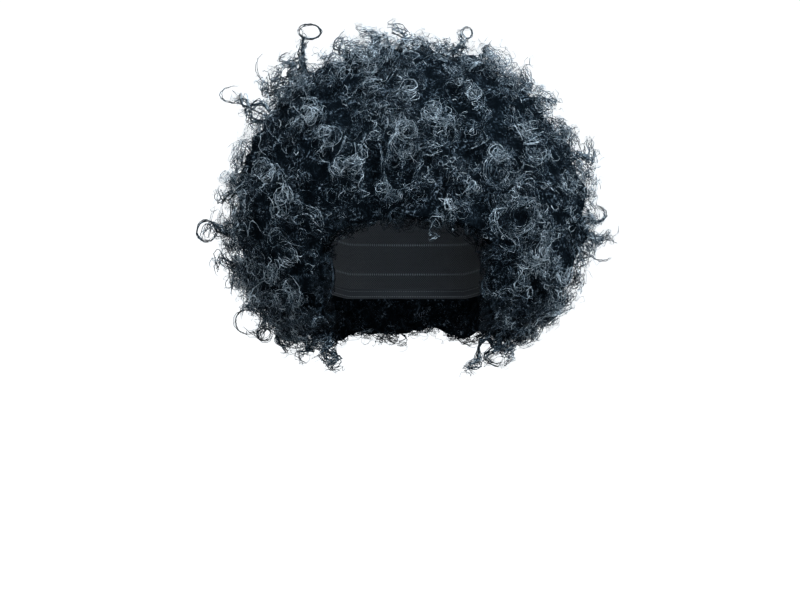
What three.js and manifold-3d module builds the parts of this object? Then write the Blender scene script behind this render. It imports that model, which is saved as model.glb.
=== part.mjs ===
// Afro wig as worn: a soft stretch cap with five rows of curled hair sewn round it.
// Millimetres, +Z up. The face looks along -Y and +X is the wearer's left.
// The origin is the inside of the cap's crown, where the head bears.
import * as THREE from 'three';
import { mergeVertices } from 'three/addons/utils/BufferGeometryUtils.js';
import Module from 'manifold-3d';

const wasm = await Module();
wasm.setup();

// The head that the cap fits, measured inside the cap
const headWidth = 154;
const headLength = 194;
const crownDepth = 96; // crown down to the level where the head is widest

// The cap, one wall of stretch cloth, with the depth of its edge below the crown
const capWall = 1.8;
const foreheadDepth = 62;
const templeDepth = 124; // the tab that lies before each ear
const napeDepth = 156;
const templeForward = 42; // the tab's front and back edges, before the head's middle
const templeBack = 20;
const earArchLength = 50; // the arch that clears each ear
const earArchRise = 24;
const napeBack = 72; // where the edge has come down to the nape, behind the middle

// How far the hair stands out beyond the cap, to the tips of the curls
const hairTop = 78;
const hairRight = 87;
const hairLeft = 93;
const hairFront = 60;
const hairBack = 88;
const fullDepth = 90; // crown down to the level where the hair is fullest
const hairFall = 107; // that level down to the hem of the hair mass
const hemTuck = 0.78; // share of the way down to a point at which the hem cuts the sides off

// The opening that the face looks out of
const faceWidth = 124;
const browDepth = 97; // crown down to the middle of the fringe's edge
const fringeArch = 24; // the fringe's edge at the sides, below its middle

// One curled lock: a tapered roll that grows out of the hair mass and curls back
const curlCount = 95;
const curlRadius = 18;
const rootThickness = 24;
const tipThickness = 14;
const curlPitch = 14; // how far a curl drifts sideways from root to tip
const curlStart = -0.5; // radians from the outward direction
const curlTurn = 4.7; // radians from root to tip
const curlTightening = 0.25; // share of the radius lost by the tip
const curlTilt = 0.8; // most that a curl lies over on its side, in radians
const curlStand = 20; // how far the curls stand out of the mass
const swell = 9; // how far the mass swells out and sinks in between the curls
const swellTurn = 20; // radians of swelling from the hair's middle to its side

// Clearances
const seatGap = 0.3; // hair over the cap
const rowGap = 0.6; // one row of hair over the next

// Facets round the head, from crown to hem, and along and round a curl
const headFacets = 28;
const crownSteps = 5;
const edgeSteps = 8;
const hairFacets = 24;
const hairStep = 15; // degrees
const curlSteps = 5;
const curlSides = 4;

// Rows of hair from the crown down, by their angles from straight up at the middle of the hair, in degrees
const rows = [
  { name: 'weft_crown', from: 0, to: 36 },
  { name: 'weft_fringe', from: 36, to: 66 },
  { name: 'weft_brow', from: 66, to: 90 },
  { name: 'weft_cheek', from: 90, to: 115 },
  { name: 'weft_nape', from: 115, to: 162 },
];
const rowWave = 0.09; // how far a row's edge waves up and down, in radians
const hemAngle = 147; // where the lowest curls grow
const roomStart = 0.3; // share of the hair's reach at which a row's room begins, inside the head's hollow
const roomEnd = 1.5; // and at which it ends, past the curls

// How far the hair mass reaches from its middle on its six sides, under the curls
const underCurls = capWall - curlStand;
const reach = {
  right: headWidth / 2 + underCurls + hairRight,
  left: headWidth / 2 + underCurls + hairLeft,
  front: headLength / 2 + underCurls + hairFront,
  back: headLength / 2 + underCurls + hairBack,
  up: fullDepth + underCurls + hairTop,
  down: hairFall / hemTuck,
};
const meanReach = Object.values(reach).reduce((sum, length) => sum + length) / 6;
const middle = new THREE.Vector3(0, 0, -fullDepth);
const hemLevel = -fullDepth - hairFall;

// A length past every side of the wig, for the cutters
const beyond = 2 * (headLength + hairBack + hairFront);

// A closed three.js geometry as a manifold solid
function solidOf(geometry) {
  const bare = geometry.clone();
  bare.deleteAttribute('normal');
  bare.deleteAttribute('uv');
  const merged = mergeVertices(bare, 1e-3);
  return new wasm.Manifold(new wasm.Mesh({
    numProp: 3,
    vertProperties: new Float32Array(merged.attributes.position.array),
    triVerts: new Uint32Array(merged.index.array),
  }));
}

// A manifold solid as a named mesh
function meshOf(solid, name, material) {
  const made = solid.getMesh();
  const geometry = new THREE.BufferGeometry();
  geometry.setAttribute('position', new THREE.BufferAttribute(made.vertProperties, 3));
  geometry.setIndex(new THREE.BufferAttribute(made.triVerts, 1));
  geometry.computeVertexNormals();
  const mesh = new THREE.Mesh(geometry, material);
  mesh.name = name;
  return mesh;
}

// A lathe profile of [radius, height] pairs turned about Z
function turned(profile, facets) {
  const points = profile.map(([radius, height]) => new THREE.Vector2(radius, height));
  return new THREE.LatheGeometry(points, facets).rotateX(Math.PI / 2);
}

// A geometry with each corner moved to where place(corner) says
function reshaped(geometry, place) {
  const corners = geometry.attributes.position;
  for (let i = 0; i < corners.count; i++) {
    const corner = place(new THREE.Vector3().fromBufferAttribute(corners, i));
    corners.setXYZ(i, corner.x, corner.y, corner.z);
  }
  return geometry;
}

// The head's form grown by a wall: half an ellipsoid on an upright elliptical column
function headForm(grow, depth) {
  const rise = crownDepth + grow;
  const profile = [[0, -depth], [1, -depth]];
  for (let i = 0; i < crownSteps; i++) {
    const angle = (i / crownSteps) * (Math.PI / 2);
    profile.push([Math.cos(angle), rise * Math.sin(angle) - crownDepth]);
  }
  profile.push([0, grow]);
  return solidOf(turned(profile, headFacets).scale(headWidth / 2 + grow, headLength / 2 + grow, 1));
}

// What lies below the cap's edge: level over the forehead, down to a tab before the ear,
// an arch over the ear, and down again to the nape
function belowCapEdge() {
  const archEnd = earArchLength - templeBack;
  const side = new THREE.Shape();
  side.moveTo(-beyond, -beyond);
  side.lineTo(-beyond, -foreheadDepth);
  side.lineTo(-headLength / 2, -foreheadDepth);
  side.quadraticCurveTo(-templeForward, -foreheadDepth, -templeForward, -templeDepth);
  side.lineTo(-templeBack, -templeDepth);
  side.absellipse(archEnd - earArchLength / 2, -templeDepth, earArchLength / 2, earArchRise, Math.PI, 0, true);
  side.quadraticCurveTo(archEnd, -napeDepth, napeBack, -napeDepth);
  side.lineTo(beyond, -napeDepth);
  side.lineTo(beyond, -beyond);
  const cutter = new THREE.ExtrudeGeometry(side, {
    depth: 2 * beyond, bevelEnabled: false, curveSegments: edgeSteps,
  });
  // The shape's x and y become the part's Y and Z, and its depth runs along X
  cutter.translate(0, 0, -beyond).rotateX(Math.PI / 2).rotateZ(Math.PI / 2);
  return solidOf(cutter);
}

// The cap: the head's form with a wall, cut off along its edge
function capSolid() {
  const outside = headForm(capWall, napeDepth + capWall);
  const inside = headForm(0, napeDepth + 2 * capWall);
  return outside.subtract(inside).subtract(belowCapEdge());
}

// The space before the face, under the arched edge of the fringe
function faceOpening() {
  const half = faceWidth / 2;
  const spring = -browDepth - fringeArch;
  const outline = new THREE.Shape();
  outline.moveTo(-half, -beyond);
  outline.lineTo(half, -beyond);
  outline.lineTo(half, spring);
  outline.absellipse(0, spring, half, fringeArch, 0, Math.PI, false);
  outline.lineTo(-half, -beyond);
  const opening = new THREE.ExtrudeGeometry(outline, {
    depth: beyond, bevelEnabled: false, curveSegments: edgeSteps,
  });
  return solidOf(opening.rotateX(Math.PI / 2));
}

// All that lies below the hem of the hair mass
function belowHem() {
  const slab = new THREE.BoxGeometry(2 * beyond, 2 * beyond, beyond);
  return solidOf(slab.translate(0, 0, hemLevel - beyond / 2));
}

// A place in the egg of hair, from a place in a ball of radius 1 whose rows are straight:
// the rows' edges wave, the surface swells and sinks, and each side has its own reach
function inEgg(place) {
  const radius = place.length();
  const polar = Math.acos(place.z / radius);
  const turn = Math.atan2(place.y, place.x);
  const swelling = Math.sin(swellTurn * (place.x + place.z)) * Math.cos(swellTurn * (place.y - place.z));
  const swollen = radius * (1 + (swell / meanReach) * swelling);
  const waved = polar + rowWave * Math.sin(polar) * Math.sin(3 * turn + 4 * polar);
  const x = swollen * Math.sin(waved) * Math.cos(turn);
  const y = swollen * Math.sin(waved) * Math.sin(turn);
  const z = swollen * Math.cos(waved);
  return new THREE.Vector3(
    x * (x < 0 ? reach.right : reach.left),
    y * (y < 0 ? reach.front : reach.back),
    z * (z < 0 ? reach.down : reach.up) - fullDepth,
  );
}

// The room of one row between two cones, out to a share of the hair's reach
function rowRoom({ from, to }, outer) {
  const at = (degrees, radius, side) => {
    const angle = THREE.MathUtils.degToRad(degrees) + (side * rowGap) / 2 / (radius * meanReach);
    return [radius * Math.sin(angle), radius * Math.cos(angle)];
  };
  const profile = from > 0 ? [at(from, roomStart, 1)] : [[0, roomStart]];
  profile.push(at(to, roomStart, -1), at(to, outer, -1));
  for (let degrees = to - hairStep; degrees > from; degrees -= hairStep) profile.push(at(degrees, outer, 0));
  profile.push(from > 0 ? at(from, outer, 1) : [0, outer]);
  if (from > 0) profile.push(profile[0]);
  return solidOf(reshaped(turned(profile, hairFacets), inEgg));
}

// A number from 0 to 1 that is scattered but the same each time
function scatter(seed) {
  const wave = Math.sin(seed * 12.9898 + 4.1414) * 43758.5453;
  return wave - Math.floor(wave);
}

// One curl centred on a place on the mass: it stands out along outward and curls round towards lean
function curlSolid(centre, outward, lean) {
  const across = new THREE.Vector3().crossVectors(outward, lean);
  const roll = new THREE.CylinderGeometry(tipThickness / 2, rootThickness / 2, 1, curlSides, curlSteps);
  return solidOf(reshaped(roll, ({ x, y, z }) => {
    const share = y + 0.5;
    const angle = curlStart + share * curlTurn;
    const radius = curlRadius * (1 - curlTightening * share) + x;
    return centre.clone()
      .addScaledVector(lean, -radius * Math.cos(angle))
      .addScaledVector(outward, radius * Math.sin(angle))
      .addScaledVector(across, curlPitch * (share - 0.5) + z);
  }));
}

// Curl number i of a spiral that spreads them evenly from crown to hem, turned every way,
// with its angle from straight up
function curlAt(i) {
  const polar = Math.acos(1 - ((i + 0.5) / curlCount) * (1 - Math.cos(THREE.MathUtils.degToRad(hemAngle))));
  const turn = i * Math.PI * (3 - Math.sqrt(5));
  const direction = new THREE.Vector3(Math.cos(turn), Math.sin(turn), 0).multiplyScalar(Math.sin(polar));
  const centre = inEgg(direction.setZ(Math.cos(polar)));
  centre.z = Math.max(centre.z, hemLevel);
  const outward = centre.clone().sub(middle).normalize();
  const lean = new THREE.Vector3(-outward.y, outward.x, 0).normalize();
  lean.applyAxisAngle(outward, 2 * Math.PI * scatter(i));
  outward.applyAxisAngle(lean, curlTilt * (2 * scatter(i + 0.5) - 1));
  return { degrees: THREE.MathUtils.radToDeg(polar), centre, solid: curlSolid(centre, outward, lean) };
}

// Whether a curl would hang before the face
function overFace({ centre }) {
  return centre.y < 0 && centre.z < -browDepth && Math.abs(centre.x) < (faceWidth + rootThickness) / 2;
}

// The largest body of a solid, without the crumbs that a cut has left
function largest(solid) {
  return solid.decompose().reduce((a, b) => (a.volume() > b.volume() ? a : b));
}

const capCloth = new THREE.MeshStandardMaterial({ color: 0x0d0f12, roughness: 0.85, side: THREE.DoubleSide });
const hairFibre = new THREE.MeshStandardMaterial({ color: 0x10161c, roughness: 0.45 });

const wig = new THREE.Group();
wig.add(meshOf(capSolid(), 'cap', capCloth));

const curls = Array.from({ length: curlCount }, (_, i) => curlAt(i)).filter((curl) => !overFace(curl));
const headAndFace = headForm(capWall + seatGap, beyond).add(faceOpening());
for (const row of rows) {
  const inRow = curls.filter(({ degrees }) => degrees > row.from && degrees <= row.to);
  const grown = wasm.Manifold.union(inRow.map(({ solid }) => solid)).intersect(rowRoom(row, roomEnd));
  const hair = rowRoom(row, 1).subtract(belowHem()).add(grown).subtract(headAndFace);
  wig.add(meshOf(largest(hair), row.name, hairFibre));
}

export default wig;
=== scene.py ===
import math

import bmesh
import bpy
import numpy as np
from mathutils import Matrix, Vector, noise


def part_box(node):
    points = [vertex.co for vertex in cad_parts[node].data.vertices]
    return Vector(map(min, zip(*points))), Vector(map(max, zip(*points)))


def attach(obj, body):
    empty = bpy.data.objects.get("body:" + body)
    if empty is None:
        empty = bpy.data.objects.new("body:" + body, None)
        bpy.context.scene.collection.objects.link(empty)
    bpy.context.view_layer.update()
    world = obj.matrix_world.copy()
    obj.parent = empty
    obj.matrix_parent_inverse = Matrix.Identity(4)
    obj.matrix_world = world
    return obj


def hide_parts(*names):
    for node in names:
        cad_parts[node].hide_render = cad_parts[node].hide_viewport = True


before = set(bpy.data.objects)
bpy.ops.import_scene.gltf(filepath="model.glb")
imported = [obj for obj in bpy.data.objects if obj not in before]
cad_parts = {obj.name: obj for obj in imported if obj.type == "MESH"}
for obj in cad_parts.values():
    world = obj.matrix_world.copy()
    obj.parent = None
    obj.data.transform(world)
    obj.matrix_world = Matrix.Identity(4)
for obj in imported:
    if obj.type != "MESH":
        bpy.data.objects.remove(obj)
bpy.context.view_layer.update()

# The cap is black stretch net, sewn to the shape of a head and open below. Its edge is level over
# the forehead, drops to a tab before each ear, arches over the ear and falls to the nape, and it
# is turned over an elastic that is stitched down.
cap_low, cap_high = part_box("cap")
BAND_THICKNESS = 0.0017
NET_THICKNESS = 0.0010
BAND_WIDTH = 0.009
HALF_WIDTH = cap_high.x - BAND_THICKNESS
HALF_LENGTH = cap_high.y - BAND_THICKNESS
WIDEST_DEPTH = 0.096  # crown down to the level where the head is widest
CROWN_ARC = 0.146  # from the crown to that level, along the cloth
NET_PITCH = 0.0016
EDGE_DEPTHS = [  # y along the head, depth below the crown
    (-0.090, 0.062), (-0.070, 0.067), (-0.052, 0.086), (-0.044, 0.116), (-0.039, 0.124),
    (0.032, 0.124), (0.037, 0.140), (0.050, 0.152), (0.072, 0.156),
]
EAR_MIDDLE, EAR_HALF, EAR_RISE = 0.005, 0.025, 0.024
LEVEL_SLACK = 1e-4  # of a ball of radius 1: corners this near to its middle level are on it


def edge_depth(y):
    """How deep the cap's edge lies below the crown, at a place y along the head"""
    depth = float(np.interp(y, *zip(*EDGE_DEPTHS)))
    across = (y - EAR_MIDDLE) / EAR_HALF
    return depth - EAR_RISE * math.sqrt(1 - across * across) if abs(across) < 1 else depth


def on_head(turn, path, grow=0.0):
    """A place on the head form, grown outwards, from its turn about Z and its way down from the crown,
    which is 1 at the widest level"""
    bend = min(path, 1) * math.pi / 2
    out = math.sin(bend)
    z = (WIDEST_DEPTH + grow) * math.cos(bend) - WIDEST_DEPTH - max(path - 1, 0) * CROWN_ARC
    across, along = (HALF_WIDTH + grow) * out, (HALF_LENGTH + grow) * out
    return Vector((across * math.cos(turn), along * math.sin(turn), z))


def to_object(name, bm):
    """A smooth-shaded object of a finished bmesh, at the origin"""
    mesh = bpy.data.meshes.new(name)
    bm.to_mesh(mesh)
    bm.free()
    mesh.shade_smooth()
    made = bpy.data.objects.new(name, mesh)
    bpy.context.scene.collection.objects.link(made)
    return made


bm = bmesh.new()
bmesh.ops.create_uvsphere(bm, u_segments=160, v_segments=80, radius=1)
bmesh.ops.delete(bm, geom=[v for v in bm.verts if v.co.z < -LEVEL_SLACK], context="VERTS")
turns, paths, ends = {}, {}, {}
for v in bm.verts:
    turns[v] = math.atan2(v.co.y, v.co.x)
    depth = edge_depth(HALF_LENGTH * math.sin(turns[v]))
    if depth < WIDEST_DEPTH:
        ends[v] = math.acos(1 - depth / WIDEST_DEPTH) / (math.pi / 2)
    else:
        ends[v] = 1 + (depth - WIDEST_DEPTH) / CROWN_ARC
    paths[v] = ends[v] * math.acos(min(1, v.co.z)) / (math.pi / 2)
    v.co = on_head(turns[v], paths[v])
cloth_uv = bm.loops.layers.uv.new("cloth")
for face in bm.faces:
    first = max(turns[v] for v in face.verts)
    for loop in face.loops:
        turn = turns[loop.vert] + (2 * math.pi if first - turns[loop.vert] > math.pi else 0)
        from_edge = (ends[loop.vert] - paths[loop.vert]) * CROWN_ARC
        loop[cloth_uv].uv = (turn * (HALF_WIDTH + HALF_LENGTH) / 2, from_edge)
is_net = [(ends[v] - paths[v]) * CROWN_ARC > BAND_WIDTH for v in bm.verts]
cap = to_object("stretch_cap", bm)
group = cap.vertex_groups.new(name="band")
for index, thin in enumerate(is_net):
    group.add([index], NET_THICKNESS / BAND_THICKNESS if thin else 1, "REPLACE")
wall = cap.modifiers.new("wall", "SOLIDIFY")
wall.thickness = BAND_THICKNESS
wall.offset = 1
wall.vertex_group = "band"


def material_nodes(name):
    """A new material, functions that add a node, calculate and link sockets in it, and its shader"""
    material = bpy.data.materials.new(name)
    material.use_nodes = True
    tree = material.node_tree

    def add(kind, **settings):
        node = tree.nodes.new(kind)
        for key, value in settings.items():
            if key in node.inputs:
                node.inputs[key].default_value = value
            else:
                setattr(node, key, value)
        return node

    def calc(operation, *values, clamp=False):
        node = add("ShaderNodeMath", operation=operation, use_clamp=clamp)
        for socket, value in zip(node.inputs, values):
            if isinstance(value, bpy.types.NodeSocket):
                tree.links.new(value, socket)
            else:
                socket.default_value = value
        return node.outputs[0]

    return material, add, calc, tree.links.new, tree.nodes["Principled BSDF"]


def add_ramp(add, stops):
    """A colour ramp with stops of (place, colour)"""
    ramp = add("ShaderNodeValToRGB")
    for place, _ in stops[1:-1]:
        ramp.color_ramp.elements.new(place)
    for element, (place, colour) in zip(ramp.color_ramp.elements, stops):
        element.position = place
        element.color = (*colour, 1)
    return ramp


# The net shows as fine crossing threads. Stitched tracks run round it, where the hair is sewn on
# from outside, and the band is a smooth elastic held by two rows of stitches.
TRACK_PITCH, TRACK_HALF = 0.0135, 0.0014
STITCH_PITCH = 0.0024
STITCH_END = -0.3  # a stitch shows where the sine of its pitch is above this
BAND_ROW, ROW_HALF = 0.0024, 0.0005  # from the middle of the band to each row of stitches
BAND_SHADE = 0.55  # of the way from the darkest to the lightest shade of the net
WEAVE_RELIEF, STITCH_RELIEF = 0.4, 0.8
NET_DARK, NET_LIGHT = (0.007, 0.008, 0.010), (0.052, 0.060, 0.071)
STITCH_GREY = (0.24, 0.265, 0.29, 1)
net, add, calc, link, shader = material_nodes("stretch_net")
place = add("ShaderNodeUVMap", uv_map="cloth")
slant = add("ShaderNodeMapping")
slant.inputs["Rotation"].default_value = (0, 0, math.radians(45))
slant.inputs["Scale"].default_value = (1 / NET_PITCH, 1 / NET_PITCH, 1)
link(place.outputs["UV"], slant.inputs["Vector"])
threads = add("ShaderNodeTexBrick", offset=0.0, squash=1.0)
threads.inputs["Scale"].default_value = 1.0
threads.inputs["Brick Width"].default_value = 1.0
threads.inputs["Row Height"].default_value = 1.0
threads.inputs["Mortar Size"].default_value = 0.22
threads.inputs["Mortar Smooth"].default_value = 0.8
link(slant.outputs["Vector"], threads.inputs["Vector"])
split = add("ShaderNodeSeparateXYZ")
link(place.outputs["UV"], split.inputs["Vector"])
along, from_edge = split.outputs["X"], split.outputs["Y"]
on_net = calc("GREATER_THAN", from_edge, BAND_WIDTH)
from_track = calc("PINGPONG", calc("ADD", from_edge, TRACK_PITCH - BAND_WIDTH), TRACK_PITCH)
track = calc("SUBTRACT", 1, calc("DIVIDE", from_track, TRACK_HALF), clamp=True)
from_middle = calc("ABSOLUTE", calc("SUBTRACT", from_edge, BAND_WIDTH / 2))
from_row = calc("ABSOLUTE", calc("SUBTRACT", from_middle, BAND_ROW))
row = calc("SUBTRACT", 1, calc("DIVIDE", from_row, ROW_HALF), clamp=True)
stitch_wave = calc("SINE", calc("MULTIPLY", along, 2 * math.pi / STITCH_PITCH))
sewn = calc("GREATER_THAN", stitch_wave, STITCH_END)
stitches = calc("MULTIPLY", sewn, calc("MAXIMUM", row, calc("MULTIPLY", track, on_net)))
weave = calc("MULTIPLY", threads.outputs["Fac"], calc("MULTIPLY", on_net, calc("SUBTRACT", 1, track)))
shade = add_ramp(add, [(0, NET_DARK), (1, NET_LIGHT)])
on_band = calc("SUBTRACT", 1, on_net)
link(calc("MAXIMUM", weave, calc("MULTIPLY", on_band, BAND_SHADE)), shade.inputs["Fac"])
thread_mix = add("ShaderNodeMix", data_type="RGBA")
link(stitches, thread_mix.inputs["Factor"])
link(shade.outputs["Color"], thread_mix.inputs["A"])
thread_mix.inputs["B"].default_value = STITCH_GREY
link(thread_mix.outputs["Result"], shader.inputs["Base Color"])
raised = add("ShaderNodeBump", Strength=0.9, Distance=0.0012)
height = calc("ADD", calc("MULTIPLY", weave, WEAVE_RELIEF), calc("MULTIPLY", stitches, STITCH_RELIEF))
link(height, raised.inputs["Height"])
link(raised.outputs["Normal"], shader.inputs["Normal"])
shader.inputs["Roughness"].default_value = 0.75
shader.inputs["Sheen Weight"].default_value = 0.25
cap.data.materials.append(net)
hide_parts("cap")
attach(cap, "root")

# Close to the cap the hair is a dense dark bed of crimped fibre. It fills the egg of the hair up
# to the open curls, and is hollow where the head goes and open where the face looks out.
MIDDLE = np.array([0.0, 0.0, -0.090])
REACH_LOW = np.array([0.166, 0.159, 0.137])  # to the tips of the curls: right, front, down
REACH_HIGH = np.array([0.172, 0.187, 0.170])  # left, back, up
INSET_LOW = np.array([1, 1, 0.3])  # the bed comes nearer to the tips below
HEM, HEM_ROUNDING = -0.200, 0.014
CURL_DEPTH = 0.021  # the open curls over the bed
FACE_HALF, BROW, FRINGE_ARCH = 0.062, -0.097, 0.024
OPENING_CURLS = 0.008  # room for the curls that line the face opening and the nape
CAP_CLEARANCE = 0.0006
LINING_TOP = -0.158  # below this level the hair stands off the head, by the room for those curls
CUT_FOOT, CUT_FRONT = -0.3, -0.4  # the cutters run past the hem, and out before the face
RAGGED_WAVES = ((0.010, 32), (0.005, 95))  # the hem's raggedness: height, and how fine it is
RAGGED_START, RAGGED_FADE = 0.05, 0.03  # from this far above the hem, growing over this height


def egg(directions, inset):
    """Places in the egg of hair, from directions and how far under its surface they lie"""
    reach = np.where(directions < 0, REACH_LOW, REACH_HIGH)
    under = np.reshape(inset, (-1, 1)) * np.where(directions < 0, INSET_LOW, 1)
    places = MIDDLE + directions * (reach - under)
    above = places[:, 2] - HEM - np.ravel(inset) * INSET_LOW[2]
    places[:, 2] += (np.hypot(above, HEM_ROUNDING) - above) / 2
    return places


def unit(vectors):
    """Vectors at length 1"""
    return vectors / np.maximum(np.linalg.norm(vectors, axis=-1, keepdims=True), 1e-9)


TURN_SCATTER = 0.05  # in radians


def scattered(count, lowest):
    """Directions spread evenly from straight up to an angle in degrees, along a spiral, with a little
    scatter"""
    drop = 1 - math.cos(math.radians(lowest))
    heights = 1 - (np.arange(count) + rng.uniform(0, 1, count)) / count * drop
    turns = np.arange(count) * math.pi * (3 - math.sqrt(5)) + rng.normal(0, TURN_SCATTER, count)
    out = np.sqrt(1 - heights ** 2)
    return np.stack([out * np.cos(turns), out * np.sin(turns), heights], axis=1)


# The hair stands in tufts, some taller than others, and the bed swells under each one. It is fuller
# on the right, low down and near the top, and thinner low down on the left.
rng = np.random.default_rng(7)
TUFT_COUNT = 330
LOWEST_TUFT = 150  # degrees from straight up
TUFT_SPREAD = 0.060  # as an angle in radians, about 10 mm
TUFT_HEIGHT = 0.011
SHORTEST_TUFT, FULL_TUFT, THINNED = 0.15, 0.8, 0.3  # shares of the tallest tuft, and of a tuft's own height
SIDEWAYS = 0.3  # how far a direction leans to a side, where it counts as on that side
FULL_BELOW, FULL_ABOVE, THIN_BELOW = -0.25, 0.45, -0.45  # the heights of directions
tufts = scattered(TUFT_COUNT, LOWEST_TUFT)
tuft_heights = rng.uniform(SHORTEST_TUFT, 1, TUFT_COUNT)
fuller = (tufts[:, 0] < -SIDEWAYS) & ((tufts[:, 2] < FULL_BELOW) | (tufts[:, 2] > FULL_ABOVE))
tuft_heights[fuller] = np.maximum(tuft_heights[fuller], FULL_TUFT)
thinner = (tufts[:, 0] > SIDEWAYS) & (tufts[:, 2] < THIN_BELOW)
tuft_heights[thinner] *= THINNED


def swell(directions):
    """How far the hair swells out, from 0 between the tufts to 1 at the tallest one"""
    apart = 2 - 2 * np.clip(directions @ tufts.T, -1, 1)
    return (tuft_heights * np.exp(-apart / (2 * TUFT_SPREAD ** 2))).max(axis=1)


def cutter(name, bm):
    """A hidden object that cuts a hollow"""
    bmesh.ops.recalc_face_normals(bm, faces=bm.faces)
    made = to_object(name, bm)
    made.hide_render = True
    return made


def head_cutter(grow, top):
    """The head form, grown, below a level if one is given, on a column that runs past the hem"""
    bm = bmesh.new()
    bmesh.ops.create_uvsphere(bm, u_segments=64, v_segments=32, radius=1)
    for v in bm.verts:
        turn = math.atan2(v.co.y, v.co.x)
        if v.co.z >= -LEVEL_SLACK:
            v.co = on_head(turn, math.acos(min(1, v.co.z)) / (math.pi / 2), grow)
        else:
            v.co = on_head(turn, 1, grow) * math.hypot(v.co.x, v.co.y)
            v.co.z = CUT_FOOT
    if top is not None:
        cut = bmesh.ops.bisect_plane(
            bm, geom=[*bm.verts, *bm.edges, *bm.faces], plane_co=(0, 0, top), plane_no=(0, 0, 1),
            clear_outer=True)
        bmesh.ops.holes_fill(bm, edges=[e for e in cut["geom_cut"] if isinstance(e, bmesh.types.BMEdge)])
    return cutter("head_cutter", bm)


def face_cutter():
    """The space before the face, under the arched edge of the fringe"""
    bm = bmesh.new()
    half = FACE_HALF + OPENING_CURLS
    arch = [Vector((half * math.cos(a), 0, BROW - FRINGE_ARCH + OPENING_CURLS + FRINGE_ARCH * math.sin(a)))
            for a in np.linspace(0, math.pi, 25)]
    outline = [Vector((half, 0, CUT_FOOT)), *arch, Vector((-half, 0, CUT_FOOT))]
    face = bm.faces.new([bm.verts.new(co) for co in outline])
    moved = bmesh.ops.extrude_face_region(bm, geom=[face])["geom"]
    front = [v for v in moved if isinstance(v, bmesh.types.BMVert)]
    bmesh.ops.translate(bm, vec=(0, CUT_FRONT, 0), verts=front)
    return cutter("face_cutter", bm)


def applied(thing):
    """The object with its modifiers applied and its cutters deleted"""
    bpy.context.view_layer.update()
    cutters = [m.object for m in thing.modifiers if m.type == "BOOLEAN"]
    finished = bpy.data.meshes.new_from_object(thing.evaluated_get(bpy.context.evaluated_depsgraph_get()))
    thing.modifiers.clear()
    thing.data = finished
    for used in cutters:
        bpy.data.objects.remove(used)
    return thing


bm = bmesh.new()
bmesh.ops.create_icosphere(bm, subdivisions=6, radius=1)
directions = np.array([v.co for v in bm.verts])
for v, place in zip(bm.verts, egg(directions, CURL_DEPTH - TUFT_HEIGHT * swell(directions))):
    near_hem = min(1, max(0, (HEM + RAGGED_START - place[2]) / RAGGED_FADE))
    ragged = sum(height * noise.noise(Vector(place) * fineness) for height, fineness in RAGGED_WAVES)
    v.co = Vector(place) + Vector((0, 0, near_hem * ragged))
bed = to_object("hair_bed", bm)
hollows = [
    head_cutter(BAND_THICKNESS + CAP_CLEARANCE, None),
    head_cutter(OPENING_CURLS, LINING_TOP),
    face_cutter(),
]
for hollow in hollows:
    cut = bed.modifiers.new("cut", "BOOLEAN")
    cut.operation = "DIFFERENCE"
    cut.solver = "EXACT"
    cut.object = hollow
applied(bed).data.shade_smooth()

# Its fibres cross and curl over one another in fine threads. Here and there they shine, a painted shine in
# patches and painted glints, and the rest is near black, partly the dye and partly painted shade from the
# curls over it.
THREAD_SHARPNESS = 5
PATCH_CONTRAST, GLINT_CONTRAST = (3.0, -1.0), (4.0, -1.4)  # gain and offset
crimped, add, calc, link, shader = material_nodes("crimped_bed")
place = add("ShaderNodeTexCoord")


def curled_threads(offset, scale, rounds):
    """Thin curled lines, along the levels of a field of noise"""
    shift = add("ShaderNodeMapping")
    shift.inputs["Location"].default_value = offset
    link(place.outputs["Object"], shift.inputs["Vector"])
    field = add("ShaderNodeTexNoise", Scale=scale, Detail=0.5, Distortion=0.6)
    link(shift.outputs["Vector"], field.inputs["Vector"])
    wave = calc("SINE", calc("MULTIPLY", field.outputs["Fac"], rounds * 2 * math.pi))
    return calc("POWER", calc("MAXIMUM", wave, 0), THREAD_SHARPNESS)


threads = calc("MAXIMUM", curled_threads((0, 0, 0), 70, 10), curled_threads((1, 2, 3), 110, 7))
threads = calc("MAXIMUM", threads, curled_threads((4, 1, 2), 180, 5))
patches = add("ShaderNodeTexNoise", Scale=90.0, Detail=3.0)
link(place.outputs["Object"], patches.inputs["Vector"])
painted_glints = add("ShaderNodeTexNoise", Scale=420.0, Detail=1.0)
link(place.outputs["Object"], painted_glints.inputs["Vector"])
painted_shine = calc("MULTIPLY", calc("MULTIPLY_ADD", patches.outputs["Fac"], *PATCH_CONTRAST, clamp=True),
             calc("MULTIPLY_ADD", painted_glints.outputs["Fac"], *GLINT_CONTRAST, clamp=True))
# The ramp's light end is painted shine; its dark end is the dye with painted shade
shade = add_ramp(add, [
    (0, (0.0016, 0.0026, 0.0036)), (0.30, (0.006, 0.0095, 0.013)), (0.65, (0.055, 0.072, 0.090)),
    (1, (0.24, 0.28, 0.32)),
])
link(calc("MULTIPLY", threads, painted_shine), shade.inputs["Fac"])
link(shade.outputs["Color"], shader.inputs["Base Color"])
relief = add("ShaderNodeBump", Strength=0.6, Distance=0.0008)
link(threads, relief.inputs["Height"])
link(relief.outputs["Normal"], shader.inputs["Normal"])
shader.inputs["Roughness"].default_value = 0.6
shader.inputs["Specular IOR Level"].default_value = 0
bed.data.materials.append(crimped)
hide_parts("weft_crown", "weft_fringe", "weft_brow", "weft_cheek", "weft_nape")
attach(bed, "root")

# The open curls are bundles of glossy synthetic fibre, heat-set into rings and short coils that
# climb out of the bed and lie every way. Each weft's curls are one piece, from crown to nape.
ROWS = [  # name, angle from straight up at which the row ends, in degrees
    ("crown", 36), ("fringe", 66), ("brow", 90), ("cheek", 115), ("nape", 180),
]
grown = {name: [] for name, _ in ROWS} | {"hem": []}
TRIES = 40  # for each root, because only part of the bed is wanted

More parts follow.
